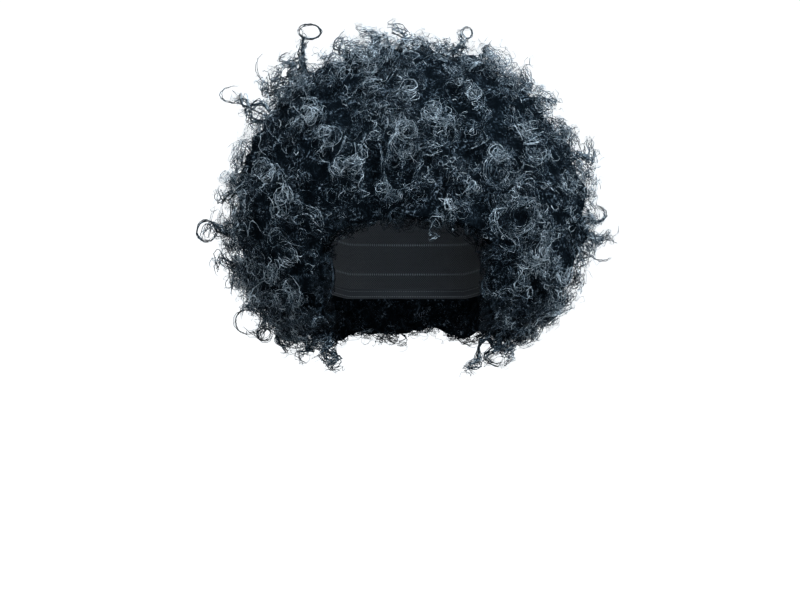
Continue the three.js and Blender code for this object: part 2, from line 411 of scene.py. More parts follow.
bed.data.calc_loop_triangles()
corner = np.empty(len(bed.data.loop_triangles) * 3, dtype=np.int32)
bed.data.loop_triangles.foreach_get("vertices", corner)
bed_points = np.empty(len(bed.data.vertices) * 3)
bed.data.vertices.foreach_get("co", bed_points)
bed_points = bed_points.reshape(-1, 3)
# The cuts leave the bed's triangles in any order, so they are sorted, to give the same roots each time.
sorting = np.lexsort(np.round(bed_points, 6).T)
corner = np.argsort(sorting)[corner].reshape(-1, 3)
lowest = np.argmin(corner, axis=1)[:, None]
corner = np.take_along_axis(corner, (lowest + np.arange(3)) % 3, axis=1)
corner = corner[np.lexsort(corner.T[::-1])]
bed_triangles = bed_points[sorting][corner]
bed_cross = np.cross(bed_triangles[:, 1] - bed_triangles[:, 0], bed_triangles[:, 2] - bed_triangles[:, 0])
bed_areas = np.linalg.norm(bed_cross, axis=1)
bed_normals = bed_cross / np.maximum(bed_areas, 1e-12)[:, None]


def roots_on_bed(count, wanted):
    """Roots scattered evenly over part of the bed's surface, with the ways it faces there; wanted tells
    which places and normals are in that part"""
    chosen = rng.choice(len(bed_areas), count * TRIES, p=bed_areas / bed_areas.sum())
    weights = rng.dirichlet((1, 1, 1), len(chosen))
    places = np.einsum("ij,ijk->ik", weights, bed_triangles[chosen])
    kept = np.flatnonzero(wanted(places, bed_normals[chosen]))[:count]
    return places[kept], bed_normals[chosen][kept]


def fringe_edge(x, room=0):
    """How low the hair comes over the brow at a place x across the face, or its bed, less room for curls"""
    rise = np.sqrt(np.clip(1 - (x / (FACE_HALF + room)) ** 2, 0, 1))
    return BROW - FRINGE_ARCH + room + FRINGE_ARCH * rise


HANG_IN = 0.004  # how far fibres may hang into the face opening under the fringe
DRAW_BACK = 0.7  # the share of what lies farther in by which they are drawn back
FACE_BACK, FACE_FRONT = -0.03, -0.06  # y where the face opening starts, and where it is open for certain
NECK_FADE = 0.010  # over this much below the hem they are let hang in towards the neck
HOLLOW_SLACK = 0.002
HOLLOW_CORE = 0.3  # of the hollow's half width: nearer to its middle than that, none are moved
PUSHED_OUT = 0.75  # of that width: all the rest are moved at least so far out


def keep_clear(points):
    """Fibres drawn back where they would hang far into the face opening or the head's hollow"""
    x, y, z = points[..., 0], points[..., 1], points[..., 2]
    under, beside = fringe_edge(x) - HANG_IN - z, FACE_HALF - np.abs(x)
    inside = (y < FACE_BACK) & (under > 0) & (beside > 0)
    points[..., 2] = np.where(inside & (under <= beside), z + DRAW_BACK * under, z)
    over_neck = np.clip((z - HEM) / NECK_FADE + 1, 0, 1)
    aside = np.sign(x) * DRAW_BACK * beside * over_neck
    points[..., 0] = np.where(inside & (under > beside), x + aside, x)
    x, y, z = points[..., 0], points[..., 1], points[..., 2]
    share = np.hypot(x / (HALF_WIDTH + HOLLOW_SLACK), y / (HALF_LENGTH + HOLLOW_SLACK))
    before_face = (y < FACE_FRONT) & (np.abs(x) < FACE_HALF)
    in_head = (share < 1) & (z < -WIDEST_DEPTH) & (share > HOLLOW_CORE) & ~before_face
    pushed = PUSHED_OUT + (1 - PUSHED_OUT) * share
    push = np.where(in_head, pushed / np.maximum(share, HOLLOW_CORE), 1)
    points[..., 0] *= push
    points[..., 1] *= push
    return points


def share_out(places):
    """How far out in the egg of hair places lie, from 0 at its middle to 1 at the tips of the curls"""
    from_middle = places - MIDDLE
    return np.linalg.norm(from_middle / np.where(from_middle < 0, REACH_LOW, REACH_HIGH), axis=-1)


DEEP, DEEP_FADE = 0.87, 0.11  # how far out the painted light on the fibres starts, and over how much it grows to full
LOW, LOW_FADE = 0.02, 0.06  # how far below the middle the painted shade on the fibres starts, and over how much
# Painted light towards the tips, and painted shade deep in the hair and low down, added to each fibre's tone
TIP_PAINTED_LIGHT, DEEP_PAINTED_SHADE, LOW_PAINTED_SHADE = 0.30, -0.22, -0.10


def store(points, axes, width, tone, into=None):
    """Fibres put with the row that they grow from, or with a named piece, with painted shade deep in the hair
    and low, and painted light towards the tips
    """
    level = np.clip((share_out(points) - DEEP) / DEEP_FADE, 0, 1)
    low = np.clip((MIDDLE[2] - LOW - points[..., 2]) / LOW_FADE, 0, 1)
    tones = tone[:, None] + TIP_PAINTED_LIGHT * level + DEEP_PAINTED_SHADE + LOW_PAINTED_SHADE * low
    if into:
        grown[into].append((points, axes, width, tones))
        return
    polar = np.degrees(np.arccos(unit(points[:, 0] - MIDDLE)[:, 2]))
    owner = np.searchsorted([end for _, end in ROWS], polar)
    for index, (name, _) in enumerate(ROWS):
        chosen = owner == index
        if chosen.any():
            grown[name].append((points[chosen], axes[chosen], width, tones[chosen]))


SHORTEST_FIBRE = 0.8  # of its bundle's length
TURN_LOOSENESS = 0.25  # in radians, at the tips
FOOT_WIDTH, WIDENING, CLOSING = 0.8, 0.45, 0.5  # of a coil's radius: it widens, then closes at its tip
OPENING_RATE = 3  # a bundle is fully spread at a third of its length
CLIMB_SPREAD = 1.4  # how much looser it is along its climb than across it
WAVES, WAVE_HEIGHT = (1.7, 4.3), 0.0022  # on top of the coils: waves in a fibre, the height of a single one
TONE_SCATTER = 0.16  # from fibre to fibre


def grow(roots, outward, stand, radius, turns, tilt, fibres, steps, spread, width, tone,
         flattening=(1, 2.2), crimp=0.0006, into=None):
    """Bundles of fibres that coil out of their roots: stand is how far they climb, tilt how far they lean,
    spread how loose they are, width the half width and half thickness of a fibre, flattening how early
    they stop climbing and lie along the hair, crimp how kinked they are, and into names their piece,
    where it isn't that of their row"""
    count = len(roots)
    sideways = unit(np.cross(outward, rng.normal(size=(count, 3))))
    axis = outward * np.cos(tilt)[:, None] + sideways * np.sin(tilt)[:, None]
    u = unit(np.cross(axis, rng.normal(size=(count, 3))))
    v = np.cross(axis, u)

    def each(values):
        return np.asarray(values).reshape(count, 1, 1, -1)

    def loose(amount):
        return amount * rng.normal(size=(count, fibres, 1, 1))

    share = np.linspace(0, 1, steps + 1).reshape(1, 1, -1, 1)
    share = share * rng.uniform(SHORTEST_FIBRE, 1, (count, fibres, 1, 1))
    angle = 2 * math.pi * each(turns) * share + loose(TURN_LOOSENESS) * share
    opening = np.minimum(share * OPENING_RATE, 1)
    size = each(radius) * (FOOT_WIDTH + WIDENING * share - CLOSING * share ** 4) + loose(spread) * opening
    climbed = 1 - (1 - share) ** each(rng.uniform(*flattening, count))
    climb = each(stand) * climbed + loose(CLIMB_SPREAD * spread) * opening
    paths = each(roots) + each(axis) * climb
    paths = paths + each(u) * (size * np.cos(angle) - FOOT_WIDTH * each(radius))
    paths = paths + each(v) * size * np.sin(angle)
    for waves in WAVES:
        way = rng.normal(size=(count, fibres, 1, 3)) * WAVE_HEIGHT / waves
        phase = rng.uniform(size=(count, fibres, 1, 1))
        paths += way * share * np.sin(waves * 2 * math.pi * (share + phase))
    paths += rng.normal(0, crimp, (count, fibres, steps + 1, 3)) * opening
    points = keep_clear(paths.reshape(count * fibres, steps + 1, 3))
    axes = np.repeat(axis, fibres, axis=0)[:, None, :]
    tones = np.repeat(tone, fibres) + rng.normal(0, TONE_SCATTER, count * fibres)
    store(points, axes, width, tones, into)
    return points


def tone_and_painted_highlight(count):
    """How light each bundle is: most are near black, as dyed, and a few are painted lighter, as painted
    highlights where they would catch the light
    """
    return rng.beta(1.5, 3.6, count)


ROOT_ROOM = 0.006  # how far outside the head form the roots below its widest level stay


def clear_of_head(places):
    """Which places lie neither in the face opening nor in the head's hollow"""
    x, y, z = places.T
    in_opening = (y < 0) & (np.abs(x) < FACE_HALF + OPENING_CURLS) & (z < fringe_edge(x, OPENING_CURLS))
    in_head = np.hypot(x / (HALF_WIDTH + ROOT_ROOM), y / (HALF_LENGTH + ROOT_ROOM)) < 1
    return ~in_opening & ~(in_head & (z < MIDDLE[2]))


TIP_DROP = 0.010  # how much lower the curls end between the tufts
ROOT_DEPTH, TIP_RISE = 0.003, 0.003  # roots lie this deep in the bed, and tips this far out of the egg
TUFT_STRIDE = 7  # bundles go to every seventh tuft in turn, until each has as many
TUFT_SHARE = 0.8  # of a tuft's spread, over which its bundles are scattered
TUFT_TONES, HEIGHT_PAINTED_LIGHT = 0.11, 0.25  # how the tone varies at random between tufts, and the painted light that makes taller tufts lighter and the hollows between them darker, as painted shade
DROOP, DROOP_BELOW = np.array([0, 0, -0.25]), -0.15  # low bundles are turned down a little
LEAST_CLIMB, MOST_CLIMB = 0.006, 0.040
tuft_tones = rng.normal(0, TUFT_TONES, TUFT_COUNT)


def coil_out(count, radii, turns, leans, fibres, steps, spread, width,
             stretch=(0.85, 1.05), flattening=(1, 2.2)):
    """Bundles in the tufts all over the outside of the hair, that climb to the tufts' tops"""
    home = np.arange(count) * TUFT_STRIDE % TUFT_COUNT
    directions = unit(tufts[home] + rng.normal(0, TUFT_SHARE * TUFT_SPREAD, (count, 3)))
    height = swell(directions)
    roots = egg(directions, CURL_DEPTH - TUFT_HEIGHT * height + ROOT_DEPTH)
    room = np.linalg.norm(egg(directions, TIP_DROP * (1 - height) - TIP_RISE) - roots, axis=1)
    kept = clear_of_head(roots)
    roots, room, n = roots[kept], room[kept], kept.sum()
    outward = unit(unit(roots - MIDDLE) + DROOP * (roots[:, 2:] < DROOP_BELOW))
    radius, tilt = rng.uniform(*radii, n), rng.uniform(*leans, n)
    climb = (room * rng.uniform(*stretch, n) - radius * np.sin(tilt)) / np.cos(tilt)
    stand = np.clip(climb, LEAST_CLIMB, MOST_CLIMB)
    # Each bundle's tone: painted highlights, a random tone for its tuft, and painted light and shade by the
    # tuft's height
    tone = tone_and_painted_highlight(n) + tuft_tones[home[kept]] + HEIGHT_PAINTED_LIGHT * (height[kept] - 0.5)
    return grow(roots, outward, stand, radius, rng.uniform(*turns, n), tilt, fibres, steps, spread, width,
                tone, flattening)


# How wide and thick the fibres are, as halves, and the kinds of bundle: count, smallest and largest
# radius, turns and lean, fibres, steps, spread, width and how far they climb.
RIBBON = (0.00036, 0.00021)
THREAD = (0.00027, 0.00021)
FLYAWAY = (0.00022, 0.00020)
carriers = [
    coil_out(800, (0.004, 0.008), (1.1, 1.8), (0.0, 1.2), 5, 14, 0.0016, RIBBON),
    coil_out(50, (0.008, 0.012), (0.9, 1.4), (0.3, 1.2), 8, 18, 0.0022, RIBBON),
    coil_out(45, (0.009, 0.014), (0.5, 0.9), (0.0, 0.6), 8, 12, 0.0028, THREAD, flattening=(4, 6)),
    coil_out(430, (0.003, 0.006), (1.4, 2.2), (0.0, 1.3), 2, 14, 0.0011, THREAD, (0.9, 1.15)),
]
coil_out(300, (0.003, 0.006), (1.2, 2.2), (0.0, 1.0), 1, 14, 0.0010, FLYAWAY, (1.05, 1.3))

# Short crimped hairs spring from the coils all over, and give the hair its frizz. They are single
# fibres of the same hair, pulled out of their coils when it was combed up.
SPRIG_COUNT = 6900
SPRIG_LENGTHS, SPRIG_RADII = (0.001, 0.006), (0.0015, 0.004)
SPRIG_TURNS, SPRIG_LEANS = (0.4, 1.2), (0, 1.4)
SPRIG_SCATTER, SPRIG_TONE = 0.45, 0.15  # of their directions, and how much lighter they are


def sprigs_on(fibres, count):
    """Short crimped hairs that spring from the outer two thirds of fibres already grown"""
    perches = np.concatenate([paths[:, paths.shape[1] // 3:].reshape(-1, 3) for paths in fibres])
    perches = perches[rng.choice(len(perches), count, replace=False)]
    away = unit(unit(perches - MIDDLE) + rng.normal(0, SPRIG_SCATTER, perches.shape))
    stand, radius = rng.uniform(*SPRIG_LENGTHS, count), rng.uniform(*SPRIG_RADII, count)
    turns, tilt = rng.uniform(*SPRIG_TURNS, count), rng.uniform(*SPRIG_LEANS, count)
    tone = tone_and_painted_highlight(count) + SPRIG_TONE
    grow(perches, away, stand, radius, turns, tilt, fibres=1, steps=5, spread=0.0004, width=THREAD, tone=tone)


sprigs_on(carriers, SPRIG_COUNT)

# Along the hem, curls hang out of the hair's underside, longest beside the jaw and short at the nape.
# They are the same fibre, and with the curls that line the hair inside they are one piece, because
# three wefts end there.
HEM_COUNT, JAW_COUNT, NAPE_COUNT = 180, 55, 95
HEM_FACING, HEM_TOP = -0.30, -0.150  # how far the bed looks down there, and the hem's highest level
JAW_BACK, JAW_HALF = -0.02, 0.092
NAPE_FRONT, NAPE_HALF = 0.06, 0.085
HEM_OUT, HEM_HANG, HEM_SCATTER = 0.5, np.array([0, 0, -0.7]), 0.2
LOWEST_TIP, LEAST_HANG = -0.222, 0.006
HEM_TONE = -0.05


def is_hem(places, normals):
    """Which places on the bed look down at the hem"""
    return (normals[:, 2] < HEM_FACING) & (places[:, 2] < HEM_TOP)


def is_jaw(places, normals):
    """Which places are at the hem beside the jaw"""
    return is_hem(places, normals) & (places[:, 1] < JAW_BACK) & (np.abs(places[:, 0]) < JAW_HALF)


def is_nape(places, normals):
    """Which places are at the hem behind the neck"""
    return is_hem(places, normals) & (places[:, 1] > NAPE_FRONT) & (np.abs(places[:, 0]) < NAPE_HALF)


hem_parts = [  # count, where, shortest and longest, smallest and largest radius
    (HEM_COUNT, is_hem, (0.006, 0.018), (0.004, 0.008)),
    (JAW_COUNT, is_jaw, (0.014, 0.030), (0.004, 0.008)),
    (NAPE_COUNT, is_nape, (0.004, 0.012), (0.003, 0.006)),
]
for count, wanted, lengths, radii in hem_parts:
    roots, faced = roots_on_bed(count, wanted)
    n = len(roots)
    down = unit(faced * HEM_OUT + HEM_HANG + rng.normal(0, HEM_SCATTER, (n, 3)))
    stand = np.minimum(rng.uniform(*lengths, n), np.maximum(roots[:, 2] - LOWEST_TIP, LEAST_HANG))
    radius, turns, tilt = rng.uniform(*radii, n), rng.uniform(1.0, 2.0, n), rng.uniform(0, 0.9, n)
    grow(roots, down, stand, radius, turns, tilt, fibres=4, steps=11, spread=0.0012, width=RIBBON,
         tone=tone_and_painted_highlight(n) + HEM_TONE, into="hem")

# Short curls line the two sides of the face opening, the underside of the fringe and the inside of
# the nape, where they lie flat towards the head.
LINING_COUNT, SIDES_COUNT = 320, 70
SIDE_FACING, SIDE_SLACK = 0.9, 0.002
CUT_LEVEL = 0.80  # the bed's surface lies nearer in than this only where it was cut
CAP_SHARE = 1.06  # of the head form's half width, within which the cap covers the bed
CAP_FOOT = -0.150  # above this level the cap hides the inside of the bed
BARE_BELOW, FACE_BELOW = -0.160, -0.075  # below the first it shows all round, below the second in front
FRINGE_FACING, FRINGE_LOW = -0.3, -0.14
LINING_WAY = np.array([0, -0.3, -0.3])
# The lining curls are painted darker, as painted shade inside the hair, under the fringe and beside the face
# opening
LINING_PAINTED_SHADE = -0.15


def is_side(places, normals):
    """Which places are on the sides of the face opening"""
    near = np.abs(places[:, 0]) < FACE_HALF + OPENING_CURLS + SIDE_SLACK
    return (np.abs(normals[:, 0]) > SIDE_FACING) & near & (places[:, 1] < 0)


def is_lining(places, normals):
    """Which places are inside the hair below the cap, or on any side of the face opening"""
    x, y, z = places.T
    towards_head = np.einsum("ij,ij->i", normals, MIDDLE - places) > 0
    on_cut = share_out(places) < CUT_LEVEL
    under_cap = (np.hypot(x / HALF_WIDTH, y / HALF_LENGTH) < CAP_SHARE) & (z > CAP_FOOT)
    bare = (z < BARE_BELOW) | ((y < FACE_FRONT) & (z < FACE_BELOW))
    inside = (towards_head | on_cut) & bare & ~under_cap
    under_fringe = (normals[:, 2] < FRINGE_FACING) & (y < FACE_FRONT) & (z > FRINGE_LOW)
    return inside | under_fringe | is_side(places, normals)


for count, wanted in ((LINING_COUNT, is_lining), (SIDES_COUNT, is_side)):
    roots, outward = roots_on_bed(count, wanted)
    n = len(roots)
    way = unit(outward + LINING_WAY)
    stand, radius = rng.uniform(0.002, 0.011, n), rng.uniform(0.003, 0.006, n)
    turns, tilt = rng.uniform(0.9, 1.9, n), rng.uniform(0.3, 1.4, n)
    grow(roots, way, stand, radius, turns, tilt, fibres=4, steps=11, spread=0.0010, width=RIBBON,
         tone=tone_and_painted_highlight(n) + LINING_PAINTED_SHADE, into="hem")


def on_front(across, up, inset):
    """Places on the front of the egg of hair and the directions to them, from their x and z"""
    side = across / np.where(across < 0, REACH_LOW[0], REACH_HIGH[0])
    rise = (up - MIDDLE[2]) / np.where(up < MIDDLE[2], REACH_LOW[2], REACH_HIGH[2])
    directions = np.stack([side, -np.sqrt(1 - side ** 2 - rise ** 2), rise], axis=1)
    return egg(directions, np.full(len(across), inset)), directions


# In front, larger curls of the same fibre, set wider, lie half open to the view. The table gives
# their places across and up, radius, turns, fibres and tone.
SWIRLS = [
    (-0.092, 0.019, 0.009, 0.8, 9, 0.42), (-0.002, 0.002, 0.010, 1.5, 9, 0.24),
    (0.036, -0.024, 0.011, 1.2, 9, 0.28), (0.083, -0.054, 0.012, 1.4, 12, 0.30),
    (0.092, -0.099, 0.017, 0.8, 8, 0.35), (-0.109, -0.126, 0.009, 0.5, 10, 0.60),
    (-0.078, -0.100, 0.011, 0.4, 10, 0.45), (-0.052, -0.006, 0.009, 1.0, 8, 0.22),
    (0.060, 0.012, 0.008, 0.8, 8, 0.35), (-0.128, -0.052, 0.008, 1.0, 8, 0.30),
    (0.118, -0.034, 0.008, 1.2, 9, 0.40),
]
SWIRL_DEPTH, SWIRL_CLIMB = CURL_DEPTH - 0.004, CURL_DEPTH - 0.006
SWIRL_LEAN = 0.3
TO_FRONT = np.array([0, -0.6, 0])  # added to their directions, so that they open to the view
across, up, radius, turns, fibres, tone = (np.array(column) for column in zip(*SWIRLS))
roots, directions = on_front(across, up, SWIRL_DEPTH)
for number in range(len(SWIRLS)):
    one = slice(number, number + 1)
    grow(roots[one], unit(directions[one] + TO_FRONT), np.array([SWIRL_CLIMB]), radius[one], turns[one],
         np.array([SWIRL_LEAN]), fibres[number], steps=20, spread=0.0026, width=THREAD, tone=tone[one],
         crimp=0.0005)

# Over the middle of the brow a few looser locks hang down in waves. The table gives where each one
# leaves the hair, across and up, and its length.
LOCKS = [
    (-0.054, -0.018, 0.032), (-0.046, -0.024, 0.034), (-0.036, -0.016, 0.030), (-0.026, -0.022, 0.036),
    (-0.016, -0.020, 0.030), (-0.006, -0.026, 0.026), (-0.041, -0.046, 0.028), (-0.020, -0.050, 0.026),
    (0.010, -0.036, 0.024), (0.052, -0.052, 0.024),
]
LOCK_DEPTH, LOCK_RADIUS = 0.009, 0.0020
LOCK_RISE, LOCK_SCATTER = 0.22, 0.12  # how far they stand off the hair, and differ in direction
across, up, length = (np.array(column) for column in zip(*LOCKS))
n = len(LOCKS)
roots, directions = on_front(across, up, LOCK_DEPTH)
hanging = unit(np.array([0, 0, -1.0]) + LOCK_RISE * directions + rng.normal(0, LOCK_SCATTER, (n, 3)))
grow(roots, hanging, length, np.full(n, LOCK_RADIUS), rng.uniform(1.0, 1.8, n), np.zeros(n), fibres=6,
     steps=14, spread=0.0022, width=THREAD, tone=rng.uniform(0.26, 0.50, n), crimp=0.0004)

# Some tufts have worked loose and stand out of the shape. The table gives where each one leaves the
# hair, how far it points out of it, both as x, y and z, its radius, its turns and its fibres.
ROOTING = 0.90  # their roots, nearer the middle of the hair
STUCK_RIBBON = (0.0006, 0.0004)  # fibres stuck together
LOOSE_LEAN, LOOSE_TONE = np.array([0.1]), np.array([0.25])
LOOSE_TUFTS = [
    ((-0.102, -0.030, 0.044), (0.0110, 0, 0.025), 0.0024, 1.8, 16),
    ((-0.100, -0.030, 0.042), (-0.004, 0, 0.012), 0.0040, 2.2, 14),
    ((-0.092, -0.024, 0.048), (-0.006, 0, 0.009), 0.0044, 2.2, 12),
    ((-0.106, -0.030, 0.034), (-0.006, 0, 0.012), 0.0042, 2.2, 12),
    ((-0.110, -0.030, 0.028), (-0.009, 0, 0.009), 0.0042, 2.2, 12),
    ((-0.118, -0.030, 0.020), (-0.012, 0, 0.007), 0.0040, 2.2, 11),
    ((-0.126, -0.030, 0.016), (-0.023, 0, 0.003), 0.0036, 2.4, 12),
    ((-0.132, -0.030, 0.000), (-0.010, 0, 0.006), 0.0048, 1.9, 10),
    ((-0.156, -0.020, -0.092), (-0.022, 0, -0.006), 0.0060, 1.5, 10),
    ((-0.150, -0.020, -0.068), (-0.016, 0, 0.002), 0.0050, 1.5, 8),
    ((-0.152, -0.020, -0.120), (-0.014, 0, -0.004), 0.0060, 1.5, 10),
    ((-0.146, -0.020, -0.138), (-0.014, 0, -0.006), 0.0060, 1.4, 10),
    ((-0.134, -0.020, -0.152), (-0.014, 0, -0.014), 0.0060, 1.3, 10),
    ((-0.120, -0.020, -0.170), (-0.012, 0, -0.020), 0.0060, 1.3, 10),
    ((-0.106, -0.020, -0.176), (-0.006, 0, -0.022), 0.0060, 1.5, 10),
    ((-0.086, -0.066, -0.190), (0.002, 0, -0.018), 0.0045, 1.8, 11),
    ((-0.077, -0.068, -0.192), (0.008, 0, -0.021), 0.0054, 1.8, 13),
    ((-0.072, -0.074, -0.192), (0.014, 0, -0.022), 0.0056, 2.0, 14),
    ((0.079, -0.074, -0.192), (-0.020, 0, -0.027), 0.0050, 2.2, 14),
    ((0.080, -0.068, -0.192), (-0.006, 0, -0.020), 0.0056, 1.8, 13),
    ((0.087, -0.066, -0.190), (0.001, 0, -0.020), 0.0045, 1.8, 11),
    ((-0.008, -0.030, 0.068), (-0.002, 0, 0.014), 0.0055, 1.4, 11),
    ((-0.036, -0.030, 0.062), (-0.002, 0, 0.018), 0.0070, 1.3, 12),
    ((-0.052, -0.030, 0.058), (-0.004, 0, 0.014), 0.0060, 1.3, 10),
    ((0.046, -0.040, 0.056), (0.008, 0, 0.018), 0.0035, 1.8, 11),
    ((0.060, -0.040, 0.048), (0.008, 0, 0.014), 0.0030, 1.8, 9),
    ((0.096, -0.030, 0.030), (0.010, 0, 0.014), 0.0080, 1.4, 12),
    ((0.118, -0.030, 0.012), (0.014, 0, 0.004), 0.0060, 1.4, 10),
    ((0.142, -0.020, -0.024), (0.018, 0, 0.002), 0.0070, 1.3, 10),
    ((0.148, -0.020, -0.032), (0.020, 0, -0.004), 0.0040, 2.0, 9),
    ((0.154, -0.010, -0.096), (0.026, 0, -0.008), 0.0045, 2.4, 16),
    ((0.154, -0.010, -0.102), (0.027, 0, -0.009), 0.0035, 2.6, 12),
]
FRAY_COUNT = 370  # short crimped hairs that fray out of them all
frayed = []
for foot, way, radius, turns, fibres in LOOSE_TUFTS:
    foot, way = np.array([foot]), np.array([way])
    root = MIDDLE + (foot - MIDDLE) * ROOTING
    way = way + foot - root
    frayed.append(grow(
        root, unit(way), np.linalg.norm(way, axis=1), np.array([radius]), np.array([turns]), LOOSE_LEAN,
        fibres, steps=16, spread=0.0020, width=STUCK_RIBBON, tone=LOOSE_TONE, crimp=0.0008))
sprigs_on(frayed, FRAY_COUNT)

# A few single curls stand out farther, on short stems, and end in open rings. The table gives where
# the stem leaves the hair, the ring's middle, its half width and height, its turns, the angle it
# starts at, in degrees, and its fibres.
RINGS = [
    ((-0.096, -0.030, 0.050), (-0.0834, -0.034, 0.0753), 0.0098, 0.0064, 1.25, -120, 6),
    ((-0.130, -0.030, 0.010), (-0.1456, -0.030, 0.0207), 0.0155, 0.0080, -0.50, -90, 3),
    ((-0.114, -0.030, 0.030), (-0.1215, -0.030, 0.0455), 0.0085, 0.0125, -0.42, -100, 2),
    ((-0.156, -0.020, -0.094), (-0.1740, -0.024, -0.0970), 0.0085, 0.0090, 1.2, 0, 7),
    ((-0.128, -0.020, -0.160), (-0.1390, -0.024, -0.1760), 0.0105, 0.0105, 0.7, 60, 4),
    ((-0.116, -0.020, -0.176), (-0.1240, -0.022, -0.1870), 0.0062, 0.0058, 1.1, 60, 7),
    ((-0.100, -0.020, -0.180), (-0.1060, -0.022, -0.1910), 0.0082, 0.0062, 1.1, 60, 7),
    ((0.118, -0.020, -0.160), (0.1230, -0.022, -0.1680), 0.0080, 0.0055, 1.1, 120, 7),
    ((0.048, -0.040, 0.060), (0.0520, -0.044, 0.0725), 0.0045, 0.0055, 1.1, -90, 4),
    ((0.150, -0.010, -0.092), (0.1660, -0.014, -0.0820), 0.0075, 0.0070, 0.55, -115, 12),
    ((0.152, -0.010, -0.106), (0.1700, -0.014, -0.1170), 0.0080, 0.0050, 0.4, -160, 3),
    ((-0.066, -0.112, -0.104), (-0.0700, -0.116, -0.1390), 0.0090, 0.0210, -0.38, 70, 3),
    ((0.066, -0.112, -0.100), (0.0580, -0.116, -0.1300), 0.0080, 0.0140, -0.3, 100, 2),
]
STEM_STEPS, RING_STEPS = 8, 20
RING_LEAN = 0.3  # how far a ring's plane leans, as a share of its half height
LOOSENESS, WOBBLE, KINK = 0.0006, 0.0005, 0.0003  # how far its fibres stray from its line
WOBBLE_LENGTH = 9  # in radians, along the whole curl
LOOSE_FROM = 4  # steps, over which they come apart
RING_FACING = np.array([0.1, 1.0, 0.1])
RING_TONES = (0.05, 0.2)
for foot, middle, half_width, half_height, turns, first, fibres in RINGS:
    root = MIDDLE + (np.array(foot) - MIDDLE) * ROOTING
    angle = math.radians(first) + np.linspace(0, 2 * math.pi * turns, RING_STEPS + 1)
    lean = rng.normal(0, RING_LEAN, 2)
    depth = lean[0] * np.cos(angle) + lean[1] * np.sin(angle)
    ring = middle + np.stack(
        [half_width * np.cos(angle), half_height * depth, half_height * np.sin(angle)], axis=1)
    step = np.linspace(0, 1, STEM_STEPS, endpoint=False)[:, None]
    bulge = (ring[0] - (ring[1] - ring[0]) * 2 - root) * step * (1 - step)
    path = np.concatenate([root + (ring[0] - root) * step + bulge, ring])
    phase = np.linspace(0, WOBBLE_LENGTH, len(path)) + rng.uniform(0, 6, (fibres, 3, 1))
    wobble = np.sin(phase).transpose(0, 2, 1)
    loose = rng.normal(size=(fibres, 1, 3)) * LOOSENESS + wobble * WOBBLE
    points = path + loose * np.minimum(np.arange(len(path)) / LOOSE_FROM, 1)[None, :, None]
    points = points + rng.normal(0, KINK, points.shape)
    facing = np.broadcast_to(RING_FACING, (fibres, 1, 3))
    store(points, facing, STUCK_RIBBON, rng.uniform(*RING_TONES, fibres))


TIP_TAPER = 0.75  # how much thinner a fibre is at its tip


def strand_mesh(name, bundles):
    """One mesh of closed three-sided fibres, with their tones and a map that runs along them"""
    corners = 3
    positions, tones, quads, ends, quad_uvs, end_uvs, base = [], [], [], [], [], [], 0
    for points, axes, (half_width, half_thickness), tone in bundles:
        count, rings = points.shape[:2]
        along = unit(np.gradient(points, axis=1))
        thin = unit(np.cross(along, axes))
        wide = np.cross(along, thin)
        share = np.linspace(0, 1, rings).reshape(1, -1, 1, 1)
        taper = 1 - TIP_TAPER * share ** 3
        angles = (np.arange(corners) * 2 * math.pi / corners + math.pi / 2).reshape(1, 1, -1, 1)
        offset = wide[:, :, None] * np.cos(angles) * half_width
        offset = offset + thin[:, :, None] * np.sin(angles) * half_thickness
        positions.append((points[:, :, None] + offset * taper).reshape(-1, 3))
        tones.append(np.repeat(np.clip(tone, 0, 1).ravel(), corners))
        at = base + np.arange(count * rings * corners).reshape(count, rings, corners)
        after = np.roll(at, -1, axis=2)
        quads.append(np.stack([at[:, :-1], at[:, 1:], after[:, 1:], after[:, :-1]], axis=-1).reshape(-1, 4))
        ends.append(np.concatenate([at[:, 0], at[:, -1, ::-1]]))
        strides = np.linalg.norm(np.diff(points, axis=1), axis=2)
        length = np.concatenate([np.zeros((count, 1)), np.cumsum(strides, axis=1)], axis=1)
        across = np.arange(corners + 1) / corners + rng.uniform(0, 50, (count, 1))
        corner_uv = np.empty((count, rings, corners + 1, 2))
        corner_uv[..., 0] = across[:, None, :]
        corner_uv[..., 1] = length[:, :, None]
        quad_uvs.append(np.stack([corner_uv[:, :-1, :-1], corner_uv[:, 1:, :-1], corner_uv[:, 1:, 1:],
                                  corner_uv[:, :-1, 1:]], axis=3).reshape(-1, 2))
        end_uvs.append(np.concatenate([corner_uv[:, 0, :-1], corner_uv[:, -1, :-1][:, ::-1]]).reshape(-1, 2))
        base += count * rings * corners
    quads, ends = np.concatenate(quads), np.concatenate(ends)
    loops = np.concatenate([quads.ravel(), ends.ravel()])
    starts = np.concatenate([np.arange(len(quads)) * 4, len(quads) * 4 + np.arange(len(ends)) * 3])
    mesh = bpy.data.meshes.new(name)
    mesh.vertices.add(base)
    mesh.vertices.foreach_set("co", np.concatenate(positions).astype(np.float32).ravel())
    mesh.loops.add(len(loops))
    mesh.loops.foreach_set("vertex_index", loops.astype(np.int32))
    mesh.polygons.add(len(starts))
    mesh.polygons.foreach_set("loop_start", starts.astype(np.int32))
    tone_values = np.concatenate(tones).astype(np.float32)
    mesh.attributes.new("tone", "FLOAT", "POINT").data.foreach_set("value", tone_values)
    mesh.uv_layers.new(name="fibre").data.foreach_set(
        "uv", np.concatenate([*quad_uvs, *end_uvs]).astype(np.float32).ravel())
    mesh.update(calc_edges=True)
    mesh.validate()
    mesh.shade_smooth()
    made = bpy.data.objects.new(name, mesh)
    bpy.context.scene.collection.objects.link(made)
    return made
